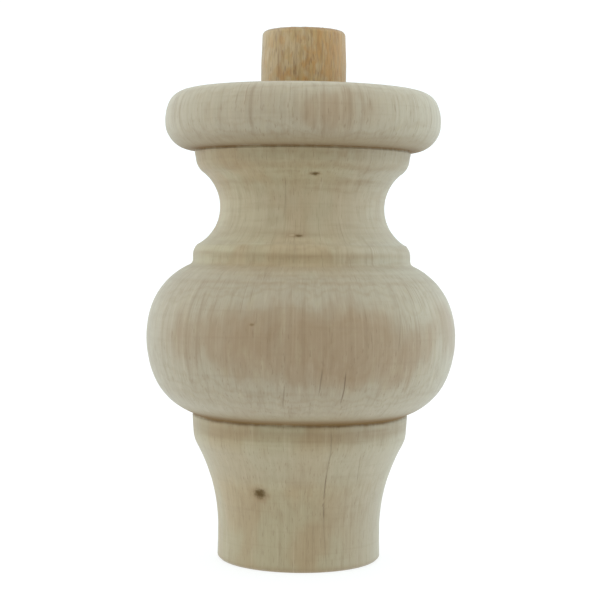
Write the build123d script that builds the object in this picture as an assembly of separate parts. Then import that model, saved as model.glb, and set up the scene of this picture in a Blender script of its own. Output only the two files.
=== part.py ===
from build123d import *
import math
import os

# Turned wooden furniture foot with a glued-in dowel standing on its top.
# Sizes are millimetres. The origin is the centre of the base, on the floor.
# +Z runs up the turning axis.

# Diameters of the turned foot, from the floor up
base_diameter = 48.9
ankle_diameter = 48.6
lip_diameter = 64.1
lip_top_diameter = 64.7
bulb_diameter = 92.6
lower_collar_diameter = 65.2
throat_diameter = 49.2
arris_diameter = 58.6
upper_collar_diameter = 63.7
upper_collar_top_diameter = 64.7
disc_diameter = 82.3
top_face_diameter = 69.0

# Heights of the turned elements, each measured from the one below it
ankle_height = 8.8
ogee_rise = 30.3
lip_height = 4.1
bulb_lower_rise = 23.7
bulb_upper_rise = 21.6
lower_collar_land = 2.4
lower_collar_rounding = 3.15
cove_lower_rise = 11.15
cove_upper_rise = 10.1
ovolo_rise = 3.7
upper_collar_land = 2.7
disc_lower_rise = 9.2
disc_upper_rise = 8.8

# Shape of the curves: the radius of each swelling's side, and the share of its rise which that side takes
ogee_hollow_share = 0.84
bulb_lower_side_radius = 31.9
bulb_lower_side_share = 0.50
bulb_upper_side_radius = 27.8
bulb_upper_side_share = 0.36
disc_lower_side_radius = 12.0
disc_lower_side_share = 0.24
disc_upper_side_radius = 14.0
disc_upper_side_share = 0.52
lower_collar_inset = 1.2

# Small edges and cuts
base_edge_chamfer = 0.8
shoulder_fillet = 1.6
crease_depth = 0.8
crease_rise = 0.5
centre_mark_diameter = 4.0
centre_mark_depth = 2.0

# Dowel, seated on the flat bottom of its bore with a film of glue round its eased lower end.
# The bore's mouth is countersunk, a little wider than the full dowel, to take the spare glue.
dowel_diameter = 25.4
dowel_seat_diameter = 25.0
dowel_standing = 18.1
dowel_lead_length = 9.5
dowel_end_diameter = 24.7
dowel_chamfer = 0.6
bore_depth = 31.0
bore_mouth_depth = 0.3
bore_mouth_gap = 0.1
glue_film = 0.05

# Heights above the floor
lip_bottom_z = ankle_height + ogee_rise
lip_top_z = lip_bottom_z + lip_height
bulb_z = lip_top_z + bulb_lower_rise
lower_collar_z = bulb_z + bulb_upper_rise
lower_collar_corner_z = lower_collar_z + lower_collar_land
cove_bottom_z = lower_collar_corner_z + lower_collar_rounding
throat_z = cove_bottom_z + cove_lower_rise
arris_z = throat_z + cove_upper_rise
upper_collar_z = arris_z + ovolo_rise
upper_collar_top_z = upper_collar_z + upper_collar_land
disc_z = upper_collar_top_z + disc_lower_rise
top_z = disc_z + disc_upper_rise
seat_z = top_z - bore_depth
bore_mouth_z = top_z - bore_mouth_depth

# Radii of the bore
bore_radius = dowel_seat_diameter / 2 + glue_film
bore_mouth_radius = dowel_diameter / 2 + bore_mouth_gap

UP = (0, 1)
DOWN = (0, -1)
STANDING = (Align.CENTER, Align.CENTER, Align.MIN)


def ogee(low, high, hollow_share):
    """A hollow arc and a round arc, upright at their outer ends, meeting on the line between them."""
    meeting = Vector(low) + (Vector(high) - Vector(low)) * hollow_share
    hollow = TangentArc(low, meeting, tangent=UP)
    crown = TangentArc(meeting, high, tangent=hollow % 1)
    return [hollow, crown]


def swelling(widest, end, side_radius, side_share):
    """Half of a bead: a side arc, upright at the widest place, and an arc carrying it on to the end."""
    radius, height = widest
    rise = (end[1] - height) * side_share
    turn = math.asin(abs(rise) / side_radius)
    knee = (radius - side_radius * (1 - math.cos(turn)), height + rise)
    side = TangentArc(widest, knee, tangent=UP if rise > 0 else DOWN)
    shoulder = TangentArc(knee, end, tangent=side % 1)
    return [side, shoulder]


def crease(rim):
    """The bottom of the V cut which runs in above a rim."""
    return (rim[0] - crease_depth, rim[1] + crease_rise)


def foot_outline():
    """The turned outline from the axis at the floor, up the outside, to the axis at the top."""
    base_inner = (base_diameter / 2 - base_edge_chamfer, 0)
    base = (base_diameter / 2, base_edge_chamfer)
    ankle = (ankle_diameter / 2, ankle_height)
    lip = (lip_diameter / 2, lip_bottom_z)
    lip_rim = (lip_top_diameter / 2, lip_top_z)
    bulb = (bulb_diameter / 2, bulb_z)
    shoulder = (lower_collar_diameter / 2, lower_collar_z)
    collar_corner = (lower_collar_diameter / 2, lower_collar_corner_z)
    cove_bottom = (lower_collar_diameter / 2 - lower_collar_inset, cove_bottom_z)
    throat = (throat_diameter / 2, throat_z)
    arris = (arris_diameter / 2, arris_z)
    collar = (upper_collar_diameter / 2, upper_collar_z)
    collar_rim = (upper_collar_top_diameter / 2, upper_collar_top_z)
    disc = (disc_diameter / 2, disc_z)
    top_edge = (top_face_diameter / 2, top_z)
    collar_slope = Vector(collar_rim) - Vector(collar)

    edges = [Line((0, 0), base_inner), Line(base_inner, base)]
    edges += [TangentArc(ankle, base, tangent=DOWN)]
    edges += ogee(ankle, lip, ogee_hollow_share)
    edges += [Line(lip, lip_rim), Line(lip_rim, crease(lip_rim))]
    edges += swelling(bulb, crease(lip_rim), bulb_lower_side_radius, bulb_lower_side_share)
    edges += swelling(bulb, shoulder, bulb_upper_side_radius, bulb_upper_side_share)
    edges += [Line(shoulder, collar_corner), TangentArc(collar_corner, cove_bottom, tangent=UP)]
    edges += [TangentArc(throat, cove_bottom, tangent=DOWN), TangentArc(throat, arris, tangent=UP)]
    edges += [TangentArc(collar, arris, tangent=-collar_slope), Line(collar, collar_rim)]
    edges += [Line(collar_rim, crease(collar_rim))]
    edges += swelling(disc, crease(collar_rim), disc_lower_side_radius, disc_lower_side_share)
    edges += swelling(disc, top_edge, disc_upper_side_radius, disc_upper_side_share)
    edges += [Line(top_edge, (0, top_z)), Line((0, top_z), (0, 0))]
    return edges


def rounded(section, corner, radius):
    """The section with the corner at (radius, height) rounded."""
    vertex = section.vertices().sort_by_distance((corner[0], 0, corner[1]))[0]
    return fillet(vertex, radius)


def make_foot():
    """The turned foot, with its blind dowel bore and the centre mark that the lathe leaves in the base."""
    section = make_face(Plane.XZ * (Curve() + foot_outline()))
    section = rounded(section, (lower_collar_diameter / 2, lower_collar_z), shoulder_fillet)
    foot = revolve(section, Axis.Z)
    bore = Cylinder(bore_radius, bore_depth, align=STANDING)
    mouth = Cone(bore_radius, bore_mouth_radius, bore_mouth_depth, align=STANDING)
    mark = Cone(centre_mark_diameter / 2, 0, centre_mark_depth, align=STANDING)
    return foot - Pos(0, 0, seat_z) * bore - Pos(0, 0, bore_mouth_z) * mouth - mark


def make_dowel():
    """The dowel: eased in its bore, full size where it stands, and tapered towards its upper end."""
    seat_radius = dowel_seat_diameter / 2
    radius = dowel_diameter / 2
    end_radius = dowel_end_diameter / 2
    end_z = top_z + dowel_standing
    outline = Polyline(
        (0, seat_z),
        (seat_radius - dowel_chamfer, seat_z),
        (seat_radius, seat_z + dowel_chamfer),
        (seat_radius, top_z),
        (radius, top_z),
        (radius, end_z - dowel_lead_length),
        (end_radius, end_z - dowel_chamfer),
        (end_radius - dowel_chamfer, end_z),
        (0, end_z),
        close=True,
    )
    return revolve(make_face(Plane.XZ * outline), Axis.Z)


os.makedirs("parts", exist_ok=True)
export_step(make_foot(), "parts/turned_foot.step")
export_step(make_dowel(), "parts/dowel.step")
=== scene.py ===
import math
from collections import namedtuple

import bpy
import numpy as np
from mathutils import Matrix, Vector, noise


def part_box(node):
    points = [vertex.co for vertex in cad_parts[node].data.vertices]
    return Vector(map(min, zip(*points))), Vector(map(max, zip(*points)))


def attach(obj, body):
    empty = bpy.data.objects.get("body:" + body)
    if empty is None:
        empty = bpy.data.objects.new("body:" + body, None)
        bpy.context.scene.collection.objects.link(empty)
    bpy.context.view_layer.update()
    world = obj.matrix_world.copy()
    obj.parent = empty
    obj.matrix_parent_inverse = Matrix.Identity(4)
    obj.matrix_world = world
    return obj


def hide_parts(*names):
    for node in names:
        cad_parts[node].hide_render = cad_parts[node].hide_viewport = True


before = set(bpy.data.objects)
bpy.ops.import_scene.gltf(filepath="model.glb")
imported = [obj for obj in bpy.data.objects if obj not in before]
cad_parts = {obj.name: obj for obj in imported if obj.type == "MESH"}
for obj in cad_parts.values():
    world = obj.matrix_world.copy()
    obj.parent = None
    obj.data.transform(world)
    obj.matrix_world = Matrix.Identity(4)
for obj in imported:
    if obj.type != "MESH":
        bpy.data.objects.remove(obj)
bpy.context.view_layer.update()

MM = 0.001
FOOT_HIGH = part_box("turned_foot")[1] / MM
DOWEL_LOW, DOWEL_HIGH = (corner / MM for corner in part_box("dowel"))

# Camera: where it stands in metres, how it is turned, and its lens and sensor in millimetres
CAMERA_PLACE = Vector((-0.00034, -0.4593, 0.09655))
CAMERA_PITCH = math.radians(2.361)
CAMERA_ROLL = math.radians(0.63)
CAMERA_LENS = 91.68
CAMERA_SENSOR = 36.0
CAMERA_NEAR = 0.01

# Outline of the turning in millimetres: each ring is its radius and its height above the floor
UP, DOWN = (0, 1), (0, -1)
TOP = FOOT_HIGH.z
CENTRE_MARK_TIP = (0, 2.0)
CENTRE_MARK_RIM = (2.0, 0)
BASE_INNER = (23.65, 0)
BASE = (24.45, 0.8)
ANKLE = (24.3, 8.8)
OGEE_HOLLOW_SHARE = 0.84
LIP = (32.05, 39.1)
LIP_TOP = (32.35, 43.35)
BULB_CREASE = (31.75, 43.85)
BULB = (FOOT_HIGH.x, 66.9)
SHOULDER = (32.6, 88.5)
COLLAR_CORNER = (32.6, 90.9)
COVE_BOTTOM = (31.4, 94.05)
THROAT = (24.6, 105.2)
ARRIS = (29.3, 115.3)
UPPER_COLLAR = (31.85, 119.0)
UPPER_COLLAR_TOP = (32.35, 121.9)
DISC_CREASE = (31.75, 122.4)
DISC = (41.15, 130.9)
TOP_EDGE = (34.5, TOP)
MOUTH = (12.8, TOP)
BORE_TOP = (12.55, TOP - 0.3)
BORE_FLOOR = (12.55, DOWEL_LOW.z)

# Side arcs of the swellings: radius in millimetres, and their share of the rise
BULB_LOWER_SIDE = (31.9, 0.50)
BULB_UPPER_SIDE = (27.8, 0.36)
DISC_LOWER_SIDE = (12.0, 0.24)
DISC_UPPER_SIDE = (14.0, 0.52)

# Corners that sanding has rounded, and how far in millimetres
SOFT_CORNERS = (
    (BASE_INNER, 0.3),
    (BASE, 0.3),
    (LIP, 0.5),
    (LIP_TOP, 0.3),
    (BULB_CREASE, 0.9),
    (SHOULDER, 1.1),
    (ARRIS, 0.35),
    (UPPER_COLLAR_TOP, 0.4),
    (DISC_CREASE, 0.9),
    (TOP_EDGE, 0.7),
)

# The dowel's outline in millimetres
DOWEL_RADIUS = DOWEL_HIGH.x
DOWEL_SEAT_RADIUS = 12.5
DOWEL_END_RADIUS = 12.35
DOWEL_LEAD = 9.5
DOWEL_CHAMFER = 0.8
DOWEL_ROUNDING = 0.5

# The lathe's grid: columns round the axis, and the spacing of its rows in millimetres
FOOT_COLUMNS = 330
DOWEL_COLUMNS = 300
ROW_STEP = 0.95
FLAT_STEP = 1.6
BORE_STEP = 6.0
SHARP_EDGE = math.radians(40)

Relief = namedtuple("Relief", "height across along seed")
Check = namedtuple("Check", "path half_width depth shade")
Knot = namedtuple("Knot", "angle height radius across tall depth tone strength")
Crease = namedtuple("Crease", "bottom reach shade dark_reach")
Noise = namedtuple("Noise", "scale size detail roughness")
Grain = namedtuple("Grain", "length width detail roughness")
Tint = namedtuple("Tint", "follows start full strength tone")
SoftBox = namedtuple("SoftBox", "name place width height power colour")

# The wood's relief: how high it stands, and its size across and along the grain, in millimetres
FOOT_FIBRES = Relief(0.035, 1.6, 30.0, 3.0)
FOOT_UNEVENNESS = Relief(0.10, 22.0, 60.0, 9.0)
DOWEL_FIBRES = Relief(0.06, 0.8, 14.0, 21.0)
DOWEL_PORES = Relief(0.04, 0.35, 6.0, 33.0)

# The turning tool's rings: their height, and the spacing of the fine and the broad ones, in millimetres
TOOL_RING_HEIGHT = 0.03
FINE_RING = 0.9
BROAD_RING = 3.1

# The floor in metres and its light, the white surround, and the dark flag behind the camera
FLOOR_HALF = 20.0
FLOOR_COLOUR = (0.22, 0.22, 0.22, 1.0)
FLOOR_LIGHT = (0.98, 1.0, 1.0, 1.0)
FLOOR_GLOW = 0.79
WORLD_STRENGTH = 1.14
WORLD_COLOUR = (0.94, 1.0, 1.02, 1.0)
FLAG_COLOUR = (0.03, 0.03, 0.03, 1.0)
FLAG_HALF = 0.75
FLAG_HEIGHT = 0.8
FLAG_Y = -0.9

# Soft boxes at either side, a little behind, and above: place, width and height in metres, power, colour
SOFT_BOXES = (
    SoftBox("left_box", (-0.75, 0.15, 0.25), 0.6, 0.8, 0.6, (1.0, 1.0, 0.92)),
    SoftBox("right_box", (0.75, 0.15, 0.25), 0.6, 0.8, 0.9, (0.75, 1.0, 1.15)),
    SoftBox("top_box", (0, -0.4, 0.85), 0.8, 0.6, 1.6, (1.0, 0.98, 0.96)),
)
LIGHT_AIM = Vector((0, 0, 0.08))

# Drying checks and dark grain lines: a path of degrees from the front and heights, the sizes in
# millimetres, and how dark
CHECKS = (
    Check(((19.4, 0.5), (19.1, 3.7), (16.3, 16.9)), 0.22, 0.04, 0.30),
    Check(((16.8, 14.5), (15.9, 22.0), (15.8, 30.5)), 0.24, 0.14, 0.80),
    Check(((15.8, 27.0), (16.3, 36.0), (15.9, 42.5)), 0.22, 0.08, 0.50),
    Check(((37.9, 25.0), (35.9, 31.0), (33.5, 36.0)), 0.20, 0.05, 0.35),
    Check(((6.7, 52.5), (7.1, 57.0), (7.6, 61.5)), 0.24, 0.14, 0.70),
    Check(((15.4, 50.0), (15.9, 55.0), (15.7, 60.5)), 0.26, 0.16, 0.80),
    Check(((-6.8, 49.0), (-5.3, 57.0)), 0.24, 0.10, 0.50),
    Check(((35.4, 64.5), (37.7, 77.0)), 0.20, 0.06, 0.35),
    Check(((-12.2, 101.0), (-10.3, 114.5)), 0.18, 0.05, 0.30),
)

# How far from its ends a check fades, in millimetres, and where the mesh's extra columns lie on it,
# in half widths
CHECK_FADE = 2.5
CHECK_COLUMNS = (-1.6, -0.8, 0.0, 0.8, 1.6)

# The columns near a check follow it: wholly up to so many degrees away, and not at all beyond
LEAN_FULL = 1.0
LEAN_REACH = 12.0


def line(start, end, step):
    """Points after start on the straight line to end."""
    start, end = Vector(start), Vector(end)
    count = max(1, round((end - start).length / step))
    return [start.lerp(end, i / count) for i in range(1, count + 1)]


def arc(start, tangent, end, step=ROW_STEP):
    """Points after start on the arc that leaves it along tangent, and the tangent at its end."""
    start, tangent, end = Vector(start), Vector(tangent).normalized(), Vector(end)
    chord = end - start
    left = Vector((-tangent.y, tangent.x))
    radius = chord.length_squared / (2 * chord.dot(left))
    turn = 2 * math.atan2(chord.dot(left), chord.dot(tangent))
    centre = start + left * radius
    count = max(3, round(abs(radius * turn) / step))
    steps = [Matrix.Rotation(turn * i / count, 2) for i in range(1, count + 1)]
    return [centre + step @ (start - centre) for step in steps], steps[-1] @ tangent


def two_arcs(start, tangent, meeting, end):
    """Points after start on an arc to meeting and on the arc which carries it on to end."""
    first, onward = arc(start, tangent, meeting)
    second, _ = arc(meeting, onward, end)
    return first + second


def swelling(widest, end, side):
    """Points after the widest place of a bead, to the end of one half of it."""
    side_radius, side_share = side
    rise = (end[1] - widest[1]) * side_share
    turn = math.asin(abs(rise) / side_radius)
    knee = (widest[0] - side_radius * (1 - math.cos(turn)), widest[1] + rise)
    return two_arcs(widest, (0, math.copysign(1, rise)), knee, end)


def back_to(start, points):
    """The stretch that leaves start, taken the other way: from its last point, left out, back to start."""
    return points[-2::-1] + [Vector(start)]


def soften(points, corner, reach):
    """The outline with one corner rounded over reach on either side."""
    corner = Vector(corner)
    near = [i for i, p in enumerate(points) if (p - corner).length < reach]
    before, after = points[near[0] - 1], points[near[-1] + 1]
    enter = corner + (before - corner).normalized() * reach
    leave = corner + (after - corner).normalized() * reach
    curve = [enter.lerp(corner, t).lerp(corner.lerp(leave, t), t) for t in (0, 0.25, 0.5, 0.75, 1)]
    return points[: near[0]] + curve + points[near[-1] + 1 :]


def foot_outline():
    """The closed outline from the tip of the centre mark, up the outside and down into the bore."""
    ogee_meeting = Vector(ANKLE).lerp(Vector(LIP), OGEE_HOLLOW_SHARE)
    collar_slope = Vector(UPPER_COLLAR) - Vector(UPPER_COLLAR_TOP)
    points = [Vector(CENTRE_MARK_TIP)]
    points += line(CENTRE_MARK_TIP, CENTRE_MARK_RIM, FLAT_STEP)
    points += line(CENTRE_MARK_RIM, BASE_INNER, FLAT_STEP)
    points += line(BASE_INNER, BASE, ROW_STEP)
    points += back_to(ANKLE, arc(ANKLE, DOWN, BASE)[0])
    points += two_arcs(ANKLE, UP, ogee_meeting, LIP)
    points += line(LIP, LIP_TOP, ROW_STEP)
    points += line(LIP_TOP, BULB_CREASE, ROW_STEP)
    points += back_to(BULB, swelling(BULB, BULB_CREASE, BULB_LOWER_SIDE))
    points += swelling(BULB, SHOULDER, BULB_UPPER_SIDE)
    points += line(SHOULDER, COLLAR_CORNER, ROW_STEP)
    points += arc(COLLAR_CORNER, UP, COVE_BOTTOM)[0]
    points += back_to(THROAT, arc(THROAT, DOWN, COVE_BOTTOM)[0])
    points += arc(THROAT, UP, ARRIS)[0]
    points += back_to(UPPER_COLLAR, arc(UPPER_COLLAR, collar_slope, ARRIS)[0])
    points += line(UPPER_COLLAR, UPPER_COLLAR_TOP, ROW_STEP)
    points += line(UPPER_COLLAR_TOP, DISC_CREASE, ROW_STEP)
    points += back_to(DISC, swelling(DISC, DISC_CREASE, DISC_LOWER_SIDE))
    points += swelling(DISC, TOP_EDGE, DISC_UPPER_SIDE)
    points += line(TOP_EDGE, MOUTH, FLAT_STEP)
    points += line(MOUTH, BORE_TOP, ROW_STEP)
    points += line(BORE_TOP, BORE_FLOOR, BORE_STEP)
    points += line(BORE_FLOOR, (0, BORE_FLOOR[1]), BORE_STEP)
    for corner, reach in SOFT_CORNERS:
        points = soften(points, corner, reach)
    return points


def dowel_outline():
    """The closed outline of the dowel, from the middle of its lower end to the middle of its upper end."""
    low, high = DOWEL_LOW.z, DOWEL_HIGH.z
    seat_corner = (DOWEL_SEAT_RADIUS, low + DOWEL_CHAMFER)
    lead = (DOWEL_RADIUS, high - DOWEL_LEAD)
    end_edge = (DOWEL_END_RADIUS, high - DOWEL_CHAMFER)
    end_rim = (DOWEL_END_RADIUS - DOWEL_CHAMFER, high)
    points = [Vector((0, low))]
    points += line(points[-1], (DOWEL_SEAT_RADIUS - DOWEL_CHAMFER, low), BORE_STEP)
    points += line(points[-1], seat_corner, ROW_STEP)
    points += line(seat_corner, (DOWEL_SEAT_RADIUS, TOP), BORE_STEP)
    points += line(points[-1], (DOWEL_RADIUS, TOP), ROW_STEP)
    points += line(points[-1], lead, ROW_STEP / 2)
    points += line(lead, end_edge, ROW_STEP / 2)
    points += line(end_edge, end_rim, ROW_STEP / 4)
    points += line(end_rim, (0, high), ROW_STEP / 2)
    points = soften(points, end_edge, DOWEL_ROUNDING)
    return soften(points, end_rim, DOWEL_ROUNDING)


def outward(points):
    """The outline's outward direction at each point but its two ends."""
    places = np.array([tuple(p) for p in points])
    along = places[2:] - places[:-2]
    along /= np.linalg.norm(along, axis=1)[:, None]
    return np.stack([along[:, 1], -along[:, 0]], axis=1)


def turned_mesh(name, points, angles, relief):
    """A closed mesh turned from an outline that starts and ends on the axis.

    angles has the columns' angles for each row, in degrees from the front, and relief how far
    each vertex stands out from the outline, in millimetres.
    """
    rows = np.array([tuple(p) for p in points[1:-1]])
    normals = outward(points)
    radii = rows[:, :1] + relief * normals[:, :1]
    heights = rows[:, 1:] + relief * normals[:, 1:]
    turns = np.radians(angles)
    grid = np.stack([radii * np.sin(turns), -radii * np.cos(turns), heights], axis=2)
    row_count, column_count = angles.shape
    ends = [(0, 0, points[0].y), (0, 0, points[-1].y)]
    corners = np.concatenate([grid.reshape(-1, 3), ends]) * MM
    first_end, last_end = len(corners) - 2, len(corners) - 1
    faces = []
    for row in range(row_count - 1):
        start = row * column_count
        for column in range(column_count):
            after = (column + 1) % column_count
            lower, upper = start, start + column_count
            faces.append((lower + column, lower + after, upper + after, upper + column))
    last_row = (row_count - 1) * column_count
    for column in range(column_count):
        after = (column + 1) % column_count
        faces.append((first_end, after, column))
        faces.append((last_row + column, last_row + after, last_end))
    mesh = bpy.data.meshes.new(name)
    mesh.from_pydata(corners.tolist(), [], faces)
    mesh.shade_smooth()
    mesh.set_sharp_from_angle(angle=SHARP_EDGE)
    piece = bpy.data.objects.new(name, mesh)
    bpy.context.scene.collection.objects.link(piece)
    return piece


def ramp(value, low, high):
    """0 below low, 1 above high, and a smooth rise between."""
    share = np.clip((value - low) / (high - low), 0, 1)
    return share * share * (3 - 2 * share)


def check_angle(check, heights):
    """Where a check runs at each height, in degrees from the front."""
    angles, levels = zip(*check.path)
    return np.interp(heights, levels, angles)


def foot_angles(heights):
    """The columns' angles at each row: evenly spaced, with close ones that follow each check."""
    even = np.arange(FOOT_COLUMNS) * 360 / FOOT_COLUMNS - 180
    extra = [
        check.path[0][0] + math.degrees(offset * check.half_width / BULB[0])
        for check in CHECKS
        for offset in CHECK_COLUMNS
    ]
    base = np.sort(np.concatenate([even, extra]))
    angles = np.tile(base, (len(heights), 1))
    for check in CHECKS:
        start, low, high = check.path[0][0], check.path[0][1], check.path[-1][1]
        near = 1 - ramp(np.abs(base - start), LEAN_FULL, LEAN_REACH)
        beside = ramp(heights, low - 3 * CHECK_FADE, low) * (1 - ramp(heights, high, high + 3 * CHECK_FADE))
        lean = (check_angle(check, heights) - start) * beside
        angles += lean[:, None] * near
    return angles


def check_marks(radii, heights, angles):
    depth, shade = np.zeros_like(angles), np.zeros_like(angles)
    for check in CHECKS:
        low, high = check.path[0][1], check.path[-1][1]
        length = ramp(heights, low, low + CHECK_FADE) * (1 - ramp(heights, high - CHECK_FADE, high))
        across = np.radians(np.abs(angles - check_angle(check, heights)[:, None])) * radii[:, None]
        mark = np.clip(1 - across / check.half_width, 0, 1) * length[:, None]
        depth = np.maximum(depth, mark * check.depth)
        shade = np.maximum(shade, mark * check.shade)
    return depth, shade


def knot_hollows(radii, heights, angles):
    """How deep the pin knots have shrunk below the surface, in millimetres."""
    depth = np.zeros_like(angles)
    for knot in KNOTS:
        across = np.radians(angles - knot.angle) * radii[:, None] / knot.across
        along = ((heights - knot.height) / knot.tall)[:, None]
        depth += knot.depth * np.exp(-(across**2 + along**2))
    return depth


def grain_relief(radii, heights, angles, relief):
    """How far the fibres of one relief stand out at each vertex, in millimetres."""
    turns = np.radians(angles)
    x = radii[:, None] * np.sin(turns) / relief.across
    y = -radii[:, None] * np.cos(turns) / relief.across
    z = np.broadcast_to(heights[:, None] / relief.along + relief.seed, x.shape)
    values = [noise.noise(place) for place in zip(x.ravel(), y.ravel(), z.ravel())]
    return relief.height * np.array(values).reshape(x.shape)


def tool_rings(heights):
    """How far the faint rings that the turning tool leaves stand out, in millimetres."""
    fine = [noise.noise((0, 0, h / FINE_RING)) for h in heights]
    broad = [noise.noise((5, 0, h / BROAD_RING)) for h in heights]
    return TOOL_RING_HEIGHT * (np.array(fine) + np.array(broad))[:, None]


def make_foot():
    """The turned foot: the outline turned, with its checks, knots, fibres and tool rings as shape."""
    points = foot_outline()
    radii, heights = (np.array(values) for values in zip(*points[1:-1]))
    angles = foot_angles(heights)
    depth, shade = check_marks(radii, heights, angles)
    outside = ramp(radii, BORE_TOP[0], MOUTH[0] + 2.0)[:, None]
    relief = grain_relief(radii, heights, angles, FOOT_FIBRES)
    relief += grain_relief(radii, heights, angles, FOOT_UNEVENNESS)
    relief += tool_rings(heights)
    relief *= (ramp(heights, 0.0, 1.0) * (1 - ramp(heights, TOP - 1.0, TOP)))[:, None]
    relief -= depth + knot_hollows(radii, heights, angles)
    foot = turned_mesh("turned_foot_wood", points, angles, relief * outside)
    checks = foot.data.attributes.new("check_shade", "FLOAT", "POINT")
    checks.data.foreach_set("value", np.append(shade.ravel(), (0, 0)))
    return foot


def make_dowel():
    """The dowel: an open-grained rod, with its fibres and its worn upper edge as shape."""
    points = dowel_outline()
    radii, heights = (np.array(values) for values in zip(*points[1:-1]))
    even = np.arange(DOWEL_COLUMNS) * 360 / DOWEL_COLUMNS - 180
    angles = np.tile(even, (len(heights), 1))
    standing = ramp(heights, TOP, TOP + 0.5)[:, None]
    relief = grain_relief(radii, heights, angles, DOWEL_FIBRES)
    relief += grain_relief(radii, heights, angles, DOWEL_PORES)
    return turned_mesh("dowel_rod", points, angles, relief * standing)


class Graph:
    """A material's nodes, with short calls that make them and join them."""

    def __init__(self, name):
        self.material = bpy.data.materials.new(name)
        self.material.use_nodes = True
        self.tree = self.material.node_tree
        self.shader = self.tree.nodes["Principled BSDF"]
        self.place = self.tree.nodes.new("ShaderNodeTexCoord").outputs["Object"]

    def put(self, value, socket):
        """Feeds a socket from another node's output, or sets it to a plain value."""
        if isinstance(value, bpy.types.NodeSocket):
            self.tree.links.new(value, socket)
        else:
            socket.default_value = value

    def node(self, kind, settings, inputs):
        """A new node with its settings, and the inputs given by name or number."""
        made = self.tree.nodes.new("ShaderNode" + kind)
        for name, value in settings.items():
            setattr(made, name, value)
        for name, value in inputs.items():
            self.put(value, made.inputs[name])
        return made

    def math(self, operation, *values):
        """One step of arithmetic."""
        return self.node("Math", {"operation": operation}, dict(enumerate(values))).outputs[0]

    def add(self, first, second):
        """A sum."""
        return self.math("ADD", first, second)

    def times(self, first, second):
        """A product."""
        return self.math("MULTIPLY", first, second)

    def scaled(self, vector, scale):
        """A vector multiplied by a scale along each axis."""
        return self.node("VectorMath", {"operation": "MULTIPLY"}, {0: vector, 1: scale}).outputs[0]

    def length(self, vector):
        """A vector's length."""
        return self.node("VectorMath", {"operation": "LENGTH"}, {0: vector}).outputs[1]

    def distance(self, place, other):
        """How far one place is from another."""
        return self.node("VectorMath", {"operation": "DISTANCE"}, {0: place, 1: other}).outputs[1]

    def offset(self, place, start):
        """The vector from a start to a place."""
        return self.node("VectorMath", {"operation": "SUBTRACT"}, {0: place, 1: start}).outputs[0]

    def rise(self, value, low, high, end=1.0):
        """0 below low, end above high, and a smooth rise between."""
        inputs = {"Value": value, "From Min": low, "From Max": high, "To Min": 0.0, "To Max": end}
        return self.node("MapRange", {"interpolation_type": "SMOOTHSTEP"}, inputs).outputs[0]

    def fall(self, value, low, high, start=1.0):
        """start below low, 0 above high, and a smooth fall between."""
        return self.math("SUBTRACT", start, self.rise(value, low, high, start))

    def band(self, value, low, high, soft, strength):
        """The strength from low to high, and a smooth fall to 0 at either end."""
        middle, half = (low + high) / 2, (high - low) / 2
        off = self.math("ABSOLUTE", self.math("SUBTRACT", value, middle))
        return self.fall(off, half - soft, half + soft, strength)

    def cloud(self, vector, size, detail=2.0, roughness=0.5):
        """Soft noise from 0 to 1, with lumps of about the size given."""
        inputs = {"Vector": vector, "Scale": 1 / size, "Detail": detail, "Roughness": roughness}
        return self.node("TexNoise", {}, inputs).outputs[0]

    def clouds(self, place, noises):
        """Each noise of a table, by its name."""
        return {
            name: self.cloud(self.scaled(place, lumps.scale), lumps.size, lumps.detail, lumps.roughness)
            for name, lumps in noises.items()
        }

    def line_cloud(self, value, size, detail):
        """Soft noise from 0 to 1 that changes with one value alone, as growth rings do."""
        vector = self.node("CombineXYZ", {}, {0: value}).outputs[0]
        return self.cloud(vector, size, detail)

    def tinted(self, colour, tints, values):
        """The colour with each tint over it, as strong as the value that the tint follows makes it."""
        for tint in tints:
            value = values[tint.follows]
            if tint.start < tint.full:
                amount = self.rise(value, tint.start, tint.full, tint.strength)
            else:
                amount = self.fall(value, tint.full, tint.start, tint.strength)
            colour = self.mix(amount, colour, tint.tone)
        return colour

    def wandering(self, value, spans, values):
        """A value made uneven: each noise named in spans shifts it by up to half its span either way."""
        for name, span in spans.items():
            value = self.add(value, self.centred(values[name], span))
        return value

    def mix(self, amount, under, over):
        """The colour under, with that amount of the colour over it."""
        return self.node("Mix", {"data_type": "RGBA"}, {0: amount, 6: under, 7: over}).outputs[2]

    def centred(self, value, span):
        """A value from 0 to 1 turned into one that swings about 0 over the span."""
        return self.times(self.math("SUBTRACT", value, 0.5), span)

    def turning(self):
        """The place in millimetres, its distance from the axis, and its direction from the axis."""
        place = self.scaled(self.place, (1 / MM, 1 / MM, 1 / MM))
        flat = self.scaled(place, (1, 1, 0))
        radius = self.length(flat)
        unit = self.node("VectorMath", {"operation": "NORMALIZE"}, {0: flat}).outputs[0]
        return place, radius, self.scaled(unit, (GRAIN_RADIUS, GRAIN_RADIUS, 0))

    def grain(self, around, radius, height, length):
        """Coordinates for upright fibres of about that length, which run on over the shoulders."""
        along = self.add(self.math("DIVIDE", height, length), self.math("DIVIDE", radius, GRAIN_CUT))
        rise = self.node("CombineXYZ", {}, {2: along}).outputs[0]
        return self.node("VectorMath", {"operation": "ADD"}, {0: around, 1: rise}).outputs[0]

    def split(self, vector):
        """The three parts of a vector."""
        return self.node("SeparateXYZ", {}, {0: vector}).outputs

    def bump(self, height, distance):
        """Gives the shader a fine grain, from a height of 0 to 1 over a distance in millimetres."""
        made = self.node("Bump", {}, {"Height": height, "Distance": distance * MM, "Strength": 1.0})
        self.put(made.outputs[0], self.shader.inputs["Normal"])


def srgb(red, green, blue):
    """A colour given as a screen shows it, 0 to 255, as the linear colour that the shader takes."""
    parts = [c / 255 for c in (red, green, blue)]
    linear = [c / 12.92 if c <= 0.04045 else ((c + 0.055) / 1.055) ** 2.4 for c in parts]
    return (*linear, 1.0)


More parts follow.
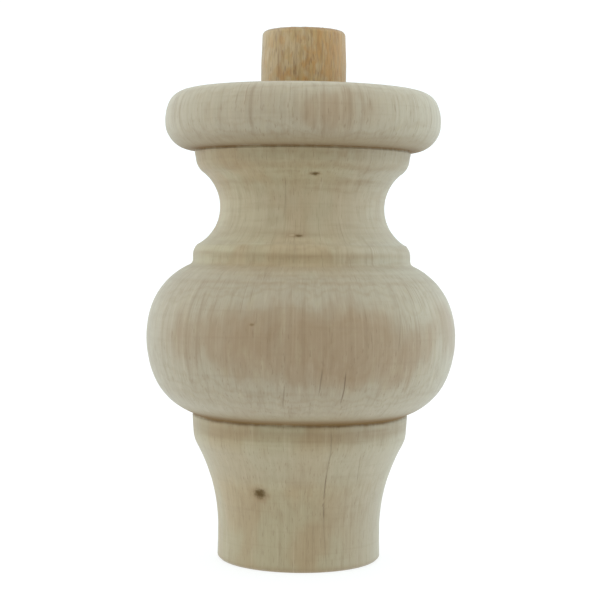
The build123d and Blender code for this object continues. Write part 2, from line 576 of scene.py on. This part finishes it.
WOOD_PALE = srgb(181, 171, 137)
WOOD_YELLOW = srgb(177, 158, 121)
WOOD_HEART = srgb(155, 129, 96)
WOOD_GREY = srgb(170, 160, 138)
# Painted light: the wood's tone on its cool-lit right side
WOOD_PAINTED_RIGHT_LIGHT = srgb(181, 175, 153)
# A brown tone of the wood, also used in some bands of painted shade
WOOD_BROWN = srgb(144, 119, 81)
WOOD_DARK = srgb(132, 108, 78)
# The wood's tone in shade, used as painted shade
WOOD_SHADED = srgb(146, 128, 98)
# A pale tone of the wood for its pale grain, also used as painted light and a painted highlight
WOOD_LIGHT = srgb(210, 196, 168)
KNOT_DARK = srgb(84, 64, 30)
KNOT_HALO = srgb(152, 124, 84)
CHECK_DARK = srgb(112, 90, 62)
# The dark in the V cuts: painted shade, with some dirt
CREASE_PAINTED_SHADE_AND_DIRT = srgb(130, 104, 66)
DOWEL_PALE = srgb(194, 172, 132)
DOWEL_ORANGE = srgb(190, 150, 92)
DOWEL_OLIVE = srgb(186, 160, 110)
DOWEL_TAN = srgb(178, 138, 80)
DOWEL_DARK = srgb(126, 90, 52)

# Pin knots, and beside one a small raised lip with a painted highlight: degrees from the front, the height,
# distance from the axis and sizes in millimetres, and the tone and how strong it is
KNOTS = (
    Knot(-25.3, 22.9, 26.0, 2.0, 1.6, 0.22, KNOT_DARK, 0.85),
    Knot(-17.1, 72.5, 45.8, 0.7, 0.45, 0.06, KNOT_DARK, 0.35),
    Knot(7.1, 114.45, 28.3, 1.25, 0.45, 0.25, KNOT_DARK, 0.80),
    # Painted highlight on a small raised lip beside the low neck knot
    Knot(-5.6, 97.0, 27.2, 1.0, 0.35, -0.10, WOOD_LIGHT, 0.75),
    Knot(-2.0, 96.85, 27.2, 1.3, 0.42, 0.20, KNOT_DARK, 0.70),
)

# Upright fibres are drawn on a cylinder of this radius, and a shoulder cuts them off over the second
# length, both in millimetres
GRAIN_RADIUS = 36.0
GRAIN_CUT = 4.0

# The middle of the trees' growth rings, and how far the foot's leans back as it rises
PITH = (-1.2, 4.0, 0.0)
PITH_LEAN = 0.035
DOWEL_PITH = (34.0, 22.0, 0.0)

# Browner growth rings: from and to distances from the pith, how softly they end, and how strong
HEART_RINGS = (
    (26.6, 33.0, 1.6, 0.15),
    (47.9, 90.0, 1.6, 0.45),
    (49.3, 90.0, 1.1, 0.50),
)

# Where the browner rings come nearer the surface, or lie deeper: the middle, how far it reaches, how much
HEART_SWELLS = (
    ((15.0, -44.0, 64.5), 14.0, 2.6),
    ((30.0, -33.0, 76.0), 13.0, -3.0),
    ((39.0, -24.0, 60.0), 14.0, -2.5),
    ((9.5, -45.0, 75.0), 9.0, -1.6),
    ((7.0, -40.0, 131.0), 17.0, 2.0),
)

# Bands of another tone round the turning, laid one over the other: from and to heights, how softly they
# end, how strong, and the tone. The marked ones are painted shade and painted light
TONE_AND_PAINTED_LIGHT_BANDS = (
    # The foot darker towards its bottom, in the shaded tone
    (-30.0, 22.0, 8.0, 0.27, WOOD_SHADED),
    # Painted shade along the foot's bottom edge, where it meets the floor
    (-1.5, 1.2, 0.9, 0.50, WOOD_BROWN),
    (25.0, 38.0, 4.0, 0.25, WOOD_PALE),
    (26.0, 37.0, 3.0, 0.35, WOOD_GREY),
    # Painted shade on the bulb's underside
    (45.0, 54.0, 3.0, 0.12, WOOD_SHADED),
    # Painted shade on the top of the bulb
    (79.0, 88.0, 3.0, 0.14, WOOD_SHADED),
    # Painted shade on the lip under the bulb's overhang, with a brown tone
    (38.8, 42.0, 1.2, 0.40, WOOD_BROWN),
    (83.4, 84.2, 0.5, 0.22, WOOD_BROWN),
    (85.8, 86.2, 0.3, 0.15, WOOD_BROWN),
    (87.2, 88.6, 0.6, 0.36, WOOD_BROWN),
    (90.6, 92.0, 0.8, 0.32, WOOD_BROWN),
    # Painted light on the neck, which the disc above keeps from the top light
    (95.0, 110.0, 3.5, 0.24, WOOD_LIGHT),
    # Painted shade on the upper neck
    (108.0, 115.5, 2.0, 0.07, WOOD_SHADED),
    (96.5, 98.5, 1.2, 0.15, WOOD_BROWN),
    # Brown lines at and below the arris: turning lines, with painted shade under the upper collar's edge
    (111.6, 113.0, 0.7, 0.15, WOOD_BROWN),
    (115.4, 117.2, 0.9, 0.32, WOOD_BROWN),
    # Painted shade on the upper collar under the disc, with a brown tone
    (117.0, 122.0, 1.0, 0.25, WOOD_BROWN),
    # Painted shade on the disc's underside
    (122.3, 125.2, 1.0, 0.28, WOOD_SHADED),
    # Painted light on the disc's upper part
    (127.0, 150.0, 3.0, 0.10, WOOD_LIGHT),
)

# The V cuts, with painted shade: the bottom, how far out and how strongly the wood above it gets painted
# shade, how far its painted dark reaches
CREASES = (
    Crease(BULB_CREASE, 9.0, 0.95, 4.8),
    Crease(DISC_CREASE, 10.0, 1.0, 5.4),
)
# Their painted shade is measured from a little above the bottom and starts a little below it. It and the
# painted dark, shade with some dirt, are full within these distances, all in millimetres, and the last
# value is how strong the dark is
CREASE_UP = 0.5
CREASE_BELOW = 1.0
CREASE_FULL = 0.8
CREASE_CUT = 0.6
CREASE_CUT_STRENGTH = 0.9

# Noise in the foot's wood: its scale along each axis, the size of its lumps in millimetres, and how fine
# and how rough it is. A grain has the length and width of its fibres in millimetres instead
FOOT_NOISES = {
    "patches": Noise((1, 1, 0.6), 13.0, 3.0, 0.5),
    "blotches": Noise((1, 1, 0.6), 6.0, 2.0, 0.5),
    "mottle": Noise((1, 1, 0.35), 2.4, 3.0, 0.55),
    "rings": Noise((0.04, 0.04, 1), 1.1, 2.0, 0.5),
    "strokes": Noise((0.12, 0.12, 1), 2.0, 3.0, 0.5),
}
FOOT_GRAINS = {
    "streaks": Grain(26.0, 1.5, 3.0, 0.55),
    "fibres": Grain(26.0, 0.42, 2.0, 0.5),
    "pores": Grain(6.0, 0.45, 1.0, 0.5),
}
DOWEL_NOISES = {
    "broad": Noise((1, 1, 0.7), 3.0, 3.0, 0.5),
    "olive": Noise((1, 1, 0.35), 1.6, 2.0, 0.5),
    "streaks": Noise((1, 1, 0.09), 0.7, 3.0, 0.6),
    "fibres": Noise((1, 1, 0.08), 0.3, 2.0, 0.5),
    "pores": Noise((1, 1, 0.16), 0.45, 1.0, 0.5),
}

# How far the growth rings and the bands' edges wander with each noise, and the growth rings' width, in
# millimetres
GROWTH_WANDER = {"patches": 5.0, "blotches": 3.0, "streaks": 1.0}
EDGE_WANDER = {"streaks": 0.7, "patches": 1.2}
FOOT_GROWTH = 1.6
DOWEL_GROWTH = 1.1

# Tones that follow a noise, or a place in millimetres: where they start and where they are full, how
# strong, and the tone
FOOT_MOTTLING = (
    Tint("mottle", 0.50, 0.75, 0.25, WOOD_BROWN),
    Tint("mottle", 0.50, 0.25, 0.25, WOOD_PALE),
)
FOOT_GRAINING = (
    Tint("streaks", 0.46, 0.22, 0.16, WOOD_LIGHT),
    Tint("fibres", 0.50, 0.80, 0.16, WOOD_DARK),
    Tint("fibres", 0.50, 0.20, 0.12, WOOD_LIGHT),
    Tint("pores", 0.62, 0.74, 0.38, WOOD_DARK),
    Tint("rings", 0.50, 0.80, 0.12, WOOD_DARK),
)
DOWEL_TONES = (
    Tint("warmth", 0.40, 0.62, 1.0, DOWEL_ORANGE),
    Tint("olive", 0.48, 0.66, 0.80, DOWEL_OLIVE),
    Tint("x", 1, 11, 0.40, DOWEL_TAN),
    # Painted light: the dowel paler towards its left
    Tint("x", -4, -11, 0.30, DOWEL_PALE),
    Tint("growth", 0.45, 0.75, 0.30, DOWEL_DARK),
    Tint("streaks", 0.45, 0.75, 0.45, DOWEL_DARK),
    Tint("fibres", 0.45, 0.80, 0.35, DOWEL_DARK),
    Tint("pores", 0.60, 0.72, 0.42, DOWEL_DARK),
    Tint("z", DOWEL_HIGH.z - 1.1, DOWEL_HIGH.z - 0.3, 0.50, DOWEL_DARK),
)

# How much warmer the dowel gets with each millimetre to its right
DOWEL_WARMTH = 0.010

# Where other tones start and are full, in millimetres: grey over the radius on the swellings, a paler,
# cooler painted light over the distance to the right of the axis, and the waist's cross strokes over the
# height
SWELLING_START, SWELLING_FULL = 31, 40
SWELLING_GREY = 0.85
RIGHT_LIGHT_START, RIGHT_LIGHT_FULL = 2, 24
RIGHT_LIGHT_STRENGTH = 0.85
RIGHT_LIGHT_LESS_ON_SWELLINGS = 0.4
WAIST_START, WAIST_FULL = 24, 44

# Dark streaks: how strong on the waist, and how much more on the swellings
COMB = 0.2
COMB_ON_SWELLINGS = 0.16

# End grain: how far below a face it starts and is full, in millimetres, and how brown it is
END_START, END_FULL = 0.6, 0.1
END_BROWN = 0.45

# A knot's outline wanders by a noise of this size, and its halo has this share of its strength
KNOT_WANDER = 0.9
KNOT_HALO_SHARE = 0.5

# The pale haze of bare sanded wood, how much of it a cut or a knot takes away, how much gloss goes with it
HAZE = 0.36
HAZE_LOST = 0.3
GLOSS = 1.4

# The haze's colour and softness, how rough the woods are, and their fine bump in millimetres
SHEEN_TINT = (0.9, 1.0, 1.0, 1.0)
SHEEN_ROUGHNESS = 0.5
FOOT_ROUGHNESS = (0.55, 0.75)
DOWEL_ROUGHNESS = 0.62
FOOT_BUMP = 0.05
DOWEL_BUMP = 0.08


def dusty(shader):
    """The pale haze of bare sanded wood, seen where the surface turns away."""
    shader.inputs["Sheen Weight"].default_value = HAZE
    shader.inputs["Sheen Roughness"].default_value = SHEEN_ROUGHNESS
    shader.inputs["Sheen Tint"].default_value = SHEEN_TINT


def foot_wood():
    """Bare pale hardwood: fine upright grain, greyer on the swellings, painted shade in V cuts, dark knots
    and checks.
    """
    g = Graph("foot_wood")
    place, radius, around = g.turning()
    x, _, z = g.split(place)
    noises = g.clouds(place, FOOT_NOISES)
    for name, grain in FOOT_GRAINS.items():
        fibre = g.grain(around, radius, z, grain.length)
        noises[name] = g.cloud(fibre, grain.width, grain.detail, grain.roughness)

    depth = g.length(g.scaled(g.offset(place, PITH), (1, 1, 0)))
    depth = g.add(depth, g.times(g.math("SUBTRACT", z, BULB[1]), PITH_LEAN))
    depth = g.wandering(depth, GROWTH_WANDER, noises)
    for middle, reach, amount in HEART_SWELLS:
        depth = g.add(depth, g.fall(g.distance(place, middle), 0, reach, amount))
    growth = g.line_cloud(depth, FOOT_GROWTH, 1.0)

    outer = g.rise(radius, SWELLING_START, SWELLING_FULL)
    colour = g.mix(g.rise(noises["patches"], 0.4, 0.6), WOOD_PALE, WOOD_YELLOW)
    colour = g.mix(g.times(outer, SWELLING_GREY), colour, WOOD_GREY)
    # Painted light: paler and cooler towards the right, where the cool right-hand light falls, and less on
    # the swellings
    right_light = g.rise(x, RIGHT_LIGHT_START, RIGHT_LIGHT_FULL, RIGHT_LIGHT_STRENGTH)
    right_light = g.math("SUBTRACT", right_light, g.times(outer, RIGHT_LIGHT_LESS_ON_SWELLINGS))
    colour = g.mix(g.math("MAXIMUM", right_light, 0.0), colour, WOOD_PAINTED_RIGHT_LIGHT)
    for low, high, soft, strength in HEART_RINGS:
        colour = g.mix(g.band(depth, low, high, soft, strength), colour, WOOD_HEART)
    colour = g.mix(g.rise(growth, 0.45, 0.75, 0.26), colour, WOOD_BROWN)
    waist = g.math("MAXIMUM", g.math("SUBTRACT", g.rise(z, WAIST_START, WAIST_FULL), outer), 0.0)
    colour = g.mix(g.times(waist, g.rise(noises["strokes"], 0.48, 0.7, 0.3)), colour, WOOD_BROWN)
    end_grain = g.add(g.rise(z, TOP - END_START, TOP - END_FULL), g.fall(z, END_FULL, END_START))
    end_rings = g.times(end_grain, g.rise(growth, 0.4, 0.7, 0.5))
    colour = g.mix(g.times(end_grain, END_BROWN), colour, WOOD_BROWN)
    colour = g.mix(end_rings, colour, WOOD_DARK)
    colour = g.tinted(colour, FOOT_MOTTLING, noises)

    uneven = g.wandering(z, EDGE_WANDER, noises)
    # Bands of tone, some of them painted shade and painted light
    for low, high, soft, strength, tone in TONE_AND_PAINTED_LIGHT_BANDS:
        colour = g.mix(g.band(uneven, low, high, soft, strength), colour, tone)
    comb = g.times(g.rise(noises["streaks"], 0.5, 0.78), g.add(COMB, g.times(outer, COMB_ON_SWELLINGS)))
    colour = g.mix(comb, colour, WOOD_DARK)
    colour = g.tinted(colour, FOOT_GRAINING, noises)

    haze = HAZE
    section = g.node("CombineXYZ", {}, {0: radius, 1: uneven}).outputs[0]
    # Painted shade at each V cut: the shaded tone over the wood above it, and a darker tone in the cut,
    # shade with some dirt. The haze is lessened there too
    for crease in CREASES:
        bottom_radius, bottom_height = crease.bottom
        away = g.distance(section, (bottom_radius, bottom_height + CREASE_UP, 0))
        above = g.rise(uneven, bottom_height - CREASE_BELOW, bottom_height)
        near = g.times(above, g.fall(away, CREASE_FULL, crease.reach, crease.shade))
        colour = g.mix(near, colour, WOOD_SHADED)
        cut = g.times(above, g.fall(away, CREASE_CUT, crease.dark_reach, CREASE_CUT_STRENGTH))
        colour = g.mix(cut, colour, CREASE_PAINTED_SHADE_AND_DIRT)
        haze = g.math("SUBTRACT", haze, g.times(near, HAZE_LOST))

    for knot in KNOTS:
        turn = math.radians(knot.angle)
        centre = (knot.radius * math.sin(turn), -knot.radius * math.cos(turn), knot.height)
        knot_scale = (1 / knot.across, 1 / knot.across, 1 / knot.tall)
        away = g.length(g.scaled(g.offset(place, centre), knot_scale))
        away = g.add(away, g.centred(g.cloud(place, KNOT_WANDER), 1.0))
        halo = g.fall(away, 0.9, 2.2)
        colour = g.mix(g.times(halo, KNOT_HALO_SHARE * knot.strength), colour, KNOT_HALO)
        core = g.fall(away, 0.3, 1.4)
        colour = g.mix(g.times(core, knot.strength), colour, knot.tone)
        haze = g.math("SUBTRACT", haze, g.times(core, HAZE_LOST))

    check = g.node("Attribute", {"attribute_name": "check_shade"}, {}).outputs["Fac"]
    colour = g.mix(check, colour, CHECK_DARK)

    height = g.add(g.times(noises["fibres"], 0.5), g.times(noises["streaks"], 0.5))
    height = g.math("SUBTRACT", height, g.rise(noises["pores"], 0.66, 0.8, 0.5))
    height = g.add(height, g.times(noises["rings"], 0.5))
    g.bump(height, FOOT_BUMP)
    g.put(colour, g.shader.inputs["Base Color"])
    smooth, rough = FOOT_ROUGHNESS
    inputs = {"Value": noises["streaks"], "To Min": smooth, "To Max": rough}
    g.put(g.node("MapRange", {}, inputs).outputs[0], g.shader.inputs["Roughness"])
    dusty(g.shader)
    haze = g.math("MAXIMUM", haze, 0.0)
    g.put(haze, g.shader.inputs["Sheen Weight"])
    g.put(g.times(haze, GLOSS), g.shader.inputs["Specular IOR Level"])
    return g.material


def dowel_wood():
    """A rod of more orange, open-grained wood: strong upright streaks and dark pores."""
    g = Graph("dowel_wood")
    place, _, _ = g.turning()
    x, _, z = g.split(place)
    values = g.clouds(place, DOWEL_NOISES)
    from_pith = g.distance(g.scaled(place, (1, 1, 0)), DOWEL_PITH)
    values["growth"] = g.line_cloud(from_pith, DOWEL_GROWTH, 2.0)
    values["warmth"] = g.add(values["broad"], g.times(x, DOWEL_WARMTH))
    values["x"] = x
    values["z"] = z
    colour = g.tinted(DOWEL_PALE, DOWEL_TONES, values)
    g.bump(g.math("SUBTRACT", values["streaks"], g.rise(values["pores"], 0.6, 0.72, 0.7)), DOWEL_BUMP)
    g.put(colour, g.shader.inputs["Base Color"])
    g.shader.inputs["Roughness"].default_value = DOWEL_ROUGHNESS
    dusty(g.shader)
    return g.material


def make_sheet(name, corners, tone, colour, roughness):
    """A flat sheet with a material of the name tone, and its shader."""
    mesh = bpy.data.meshes.new(name)
    mesh.from_pydata(corners, [], [(0, 1, 2, 3)])
    sheet = bpy.data.objects.new(name, mesh)
    bpy.context.scene.collection.objects.link(sheet)
    g = Graph(tone)
    g.shader.inputs["Base Color"].default_value = colour
    g.shader.inputs["Roughness"].default_value = roughness
    mesh.materials.append(g.material)
    return sheet, g.shader


def make_floor():
    """A plain pale floor, lit a little from below as a light table is."""
    signs = ((-1, -1), (1, -1), (1, 1), (-1, 1))
    corners = [(x * FLOOR_HALF, y * FLOOR_HALF, 0) for x, y in signs]
    floor, shader = make_sheet("floor", corners, "floor_white", FLOOR_COLOUR, 0.8)
    shader.inputs["Emission Color"].default_value = FLOOR_LIGHT
    shader.inputs["Emission Strength"].default_value = FLOOR_GLOW


def make_camera():
    """The camera at the photograph's viewing angle."""
    camera = bpy.data.objects.new("camera", bpy.data.cameras.new("camera"))
    camera.data.lens = CAMERA_LENS
    camera.data.sensor_width = CAMERA_SENSOR
    camera.data.clip_start = CAMERA_NEAR
    camera.location = CAMERA_PLACE
    level = Matrix.Rotation(math.pi / 2 - CAMERA_PITCH, 3, "X")
    camera.rotation_euler = (level @ Matrix.Rotation(CAMERA_ROLL, 3, "Z")).to_euler()
    bpy.context.scene.collection.objects.link(camera)
    bpy.context.scene.camera = camera


def make_flag():
    """A dark card behind the camera, which the camera never sees: it keeps the light off the front."""
    signs = ((-1, 0), (1, 0), (1, 1), (-1, 1))
    corners = [(x * FLAG_HALF, FLAG_Y, z * FLAG_HEIGHT) for x, z in signs]
    flag, _ = make_sheet("flag", corners, "flag_black", FLAG_COLOUR, 0.9)
    flag.visible_camera = False


def make_soft_box(box):
    """A soft box that faces the foot's middle, and that the camera doesn't see."""
    light = bpy.data.lights.new(box.name, "AREA")
    light.shape = "RECTANGLE"
    light.size = box.width
    light.size_y = box.height
    light.energy = box.power
    light.color = box.colour
    lamp = bpy.data.objects.new(box.name, light)
    lamp.location = box.place
    lamp.rotation_euler = (LIGHT_AIM - Vector(box.place)).to_track_quat("-Z", "Y").to_euler()
    lamp.visible_camera = False
    bpy.context.scene.collection.objects.link(lamp)


def make_lights():
    """Soft light from both sides and from above, inside an even white surround."""
    for box in SOFT_BOXES:
        make_soft_box(box)
    world = bpy.data.worlds.new("white_surround")
    world.use_nodes = True
    background = world.node_tree.nodes["Background"]
    background.inputs["Color"].default_value = WORLD_COLOUR
    background.inputs["Strength"].default_value = WORLD_STRENGTH
    bpy.context.scene.world = world
    bpy.context.scene.view_settings.view_transform = "Standard"


def dress(piece, material, node):
    """Gives a piece its material, and sets it in the place of its CAD node."""
    piece.data.materials.append(material)
    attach(piece, "root")
    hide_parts(node)


make_camera()
make_floor()
make_flag()
make_lights()
dress(make_foot(), foot_wood(), "turned_foot")
dress(make_dowel(), dowel_wood(), "dowel")
